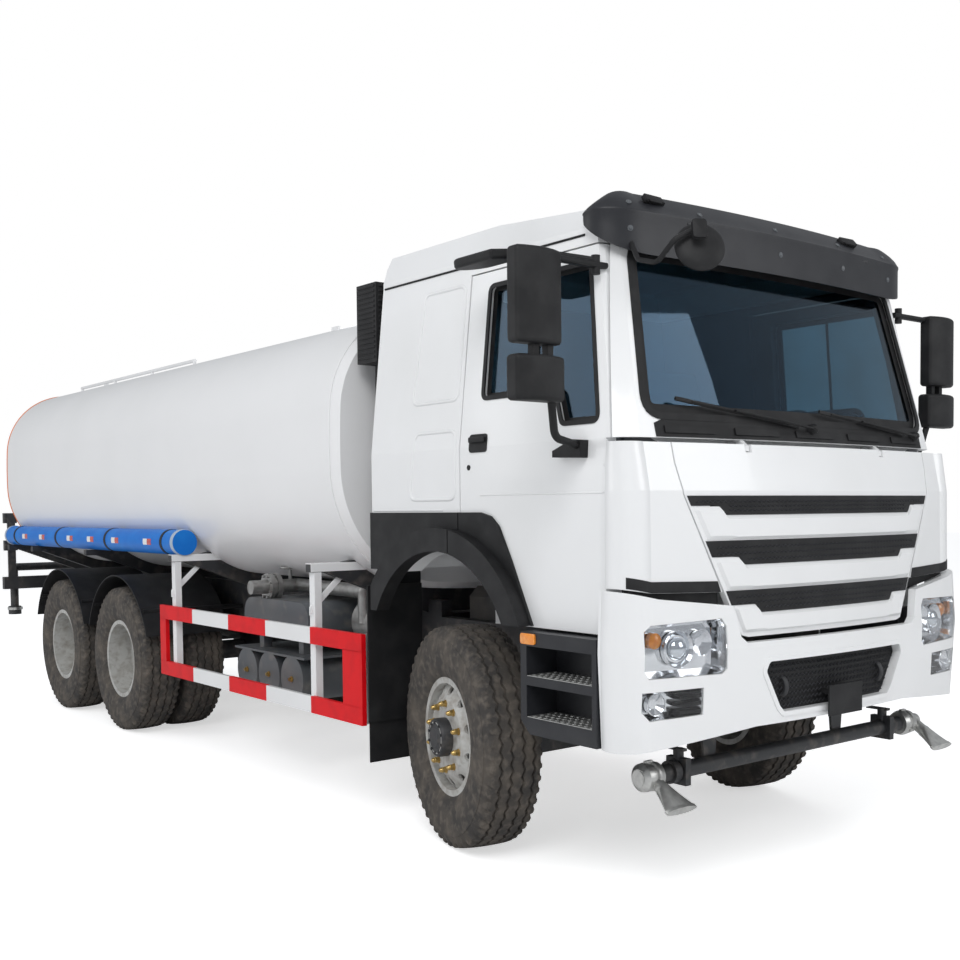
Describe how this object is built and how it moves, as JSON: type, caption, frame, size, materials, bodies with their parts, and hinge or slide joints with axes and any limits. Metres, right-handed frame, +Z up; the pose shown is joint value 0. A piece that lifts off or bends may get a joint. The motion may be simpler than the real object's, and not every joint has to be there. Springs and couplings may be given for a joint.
{
  "type": "water tanker truck",
  "caption": "Three-axle cab-over water tanker truck with a hollow cab, opening doors and front flap, steered front wheels, a rounded tank with a lid, and front and rear water outlets.",
  "frame": {"origin": "on the ground under the middle of the truck", "axes": "+Z up, -Y the front of the truck, +X its left side; the tyres stand on z = 0"},
  "size_m": [3.19, 9.1798, 3.1098],
  "materials": {
    "tyre_rubber": "matte",
    "wheel_paint": "satin",
    "chassis_paint": "satin",
    "engine_metal": "matte",
    "white_paint": "gloss",
    "guard_paint": "satin",
    "grey_paint": "satin",
    "blue_paint": "gloss",
    "black_plastic": "matte",
    "dark_plastic": "matte",
    "glass": "tinted",
    "lamp_glass": "clear",
    "pump_metal": "dull",
    "pipe_paint": "satin",
    "cast_aluminium": "dull",
    "seat_fabric": "matte"
  },
  "bodies": {
    "chassis": {"front_axle_beam": "chassis_paint", "frame_rails": "chassis_paint", "leaf_springs": "chassis_paint", "rear_axles": "chassis_paint", "drive_shafts": "chassis_paint", "tank_cradle": "chassis_paint", "rear_bar": "chassis_paint", "engine": "engine_metal", "tank": "white_paint", "cab_body": "white_paint", "cab_roof": "white_paint", "corner_panels": "white_paint", "bumper": "white_paint", "manhole": "white_paint", "tank_railing": "white_paint", "side_guards": "guard_paint", "air_tanks": "grey_paint", "silencer": "grey_paint", "fuel_tank": "grey_paint", "hose_tubes": "blue_paint", "grille_mesh": "black_plastic", "air_intake": "black_plastic", "mudguards": "black_plastic", "arch_trims": "black_plastic", "dashboard": "black_plastic", "sun_visor": "dark_plastic", "cab_steps": "dark_plastic", "windscreen": "glass", "headlamps": "lamp_glass", "water_pump": "pump_metal", "spray_bar": "pipe_paint", "rear_pipe": "pipe_paint", "seats": "seat_fabric", "spray_nozzles": "cast_aluminium"},
    "tie_rod": {"tie_rod": "chassis_paint"},
    "knuckle_right": {"knuckle_right": "chassis_paint"},
    "knuckle_left": {"knuckle_left": "chassis_paint"},
    "front_wheel_right": {"front_tyre_right": "tyre_rubber", "front_wheel_right": "wheel_paint"},
    "front_wheel_left": {"front_tyre_left": "tyre_rubber", "front_wheel_left": "wheel_paint"},
    "mid_wheels_right": {"mid_tyres_right": "tyre_rubber", "mid_wheels_right": "wheel_paint"},
    "mid_wheels_left": {"mid_tyres_left": "tyre_rubber", "mid_wheels_left": "wheel_paint"},
    "last_wheels_right": {"last_tyres_right": "tyre_rubber", "last_wheels_right": "wheel_paint"},
    "last_wheels_left": {"last_tyres_left": "tyre_rubber", "last_wheels_left": "wheel_paint"},
    "door_right": {"door_right": "white_paint", "door_glass_right": "glass", "door_arch_trim_right": "black_plastic", "mirror_right": "black_plastic"},
    "door_left": {"door_left": "white_paint", "door_glass_left": "glass", "door_arch_trim_left": "black_plastic", "mirror_left": "black_plastic"},
    "front_flap": {"front_flap": "white_paint"},
    "manhole_lid": {"manhole_lid": "white_paint"}
  },
  "joints": [
    {"name": "steer_left", "type": "hinge", "parent": "chassis", "child": "knuckle_left", "pos_m": [0.86, -3.07, 0.561], "axis": [0, 0, 1], "range_deg": [-22.4, 47.6]},
    {"name": "steer_right", "type": "hinge", "parent": "chassis", "child": "knuckle_right", "pos_m": [-0.86, -3.07, 0.561], "axis": [0, 0, 1], "range_deg": [-22.4, 47.6]},
    {"name": "tie_rod_pivot", "type": "hinge", "parent": "knuckle_left", "child": "tie_rod", "pos_m": [0.91454, -2.82602, 0.435], "axis": [0, 0, 1], "range_deg": [-47.6, 22.4]},
    {"name": "front_wheel_spin_right", "type": "hinge", "parent": "knuckle_right", "child": "front_wheel_right", "pos_m": [-0.86, -3.07, 0.561], "axis": [0.9759, -0.2181, 0], "continuous": true},
    {"name": "front_wheel_spin_left", "type": "hinge", "parent": "knuckle_left", "child": "front_wheel_left", "pos_m": [0.86, -3.07, 0.561], "axis": [0.9759, -0.2181, 0], "continuous": true},
    {"name": "mid_wheels_spin_right", "type": "hinge", "parent": "chassis", "child": "mid_wheels_right", "pos_m": [-0.915, 1.255, 0.561], "axis": [1, 0, 0], "continuous": true},
    {"name": "mid_wheels_spin_left", "type": "hinge", "parent": "chassis", "child": "mid_wheels_left", "pos_m": [0.915, 1.255, 0.561], "axis": [1, 0, 0], "continuous": true},
    {"name": "last_wheels_spin_right", "type": "hinge", "parent": "chassis", "child": "last_wheels_right", "pos_m": [-0.915, 2.605, 0.561], "axis": [1, 0, 0], "continuous": true},
    {"name": "last_wheels_spin_left", "type": "hinge", "parent": "chassis", "child": "last_wheels_left", "pos_m": [0.915, 2.605, 0.561], "axis": [1, 0, 0], "continuous": true},
    {"name": "door_hinge_right", "type": "hinge", "parent": "chassis", "child": "door_right", "pos_m": [-1.166, -4.25, 1.6], "axis": [0, 0, 1], "range_deg": [0, 70]},
    {"name": "door_hinge_left", "type": "hinge", "parent": "chassis", "child": "door_left", "pos_m": [1.166, -4.25, 1.6], "axis": [0, 0, -1], "range_deg": [0, 70]},
    {"name": "front_flap_hinge", "type": "hinge", "parent": "chassis", "child": "front_flap", "pos_m": [0, -4.412, 1.962], "axis": [-1, 0, 0], "range_deg": [0, 60]},
    {"name": "manhole_lid_hinge", "type": "hinge", "parent": "chassis", "child": "manhole_lid", "pos_m": [0, 2.665, 2.955], "axis": [-1, 0, 0], "range_deg": [0, 105]}
  ],
  "couplings": [
    {"joint": "steer_right", "follows": "steer_left", "ratio": 1},
    {"joint": "tie_rod_pivot", "follows": "steer_left", "ratio": -1}
  ]
}
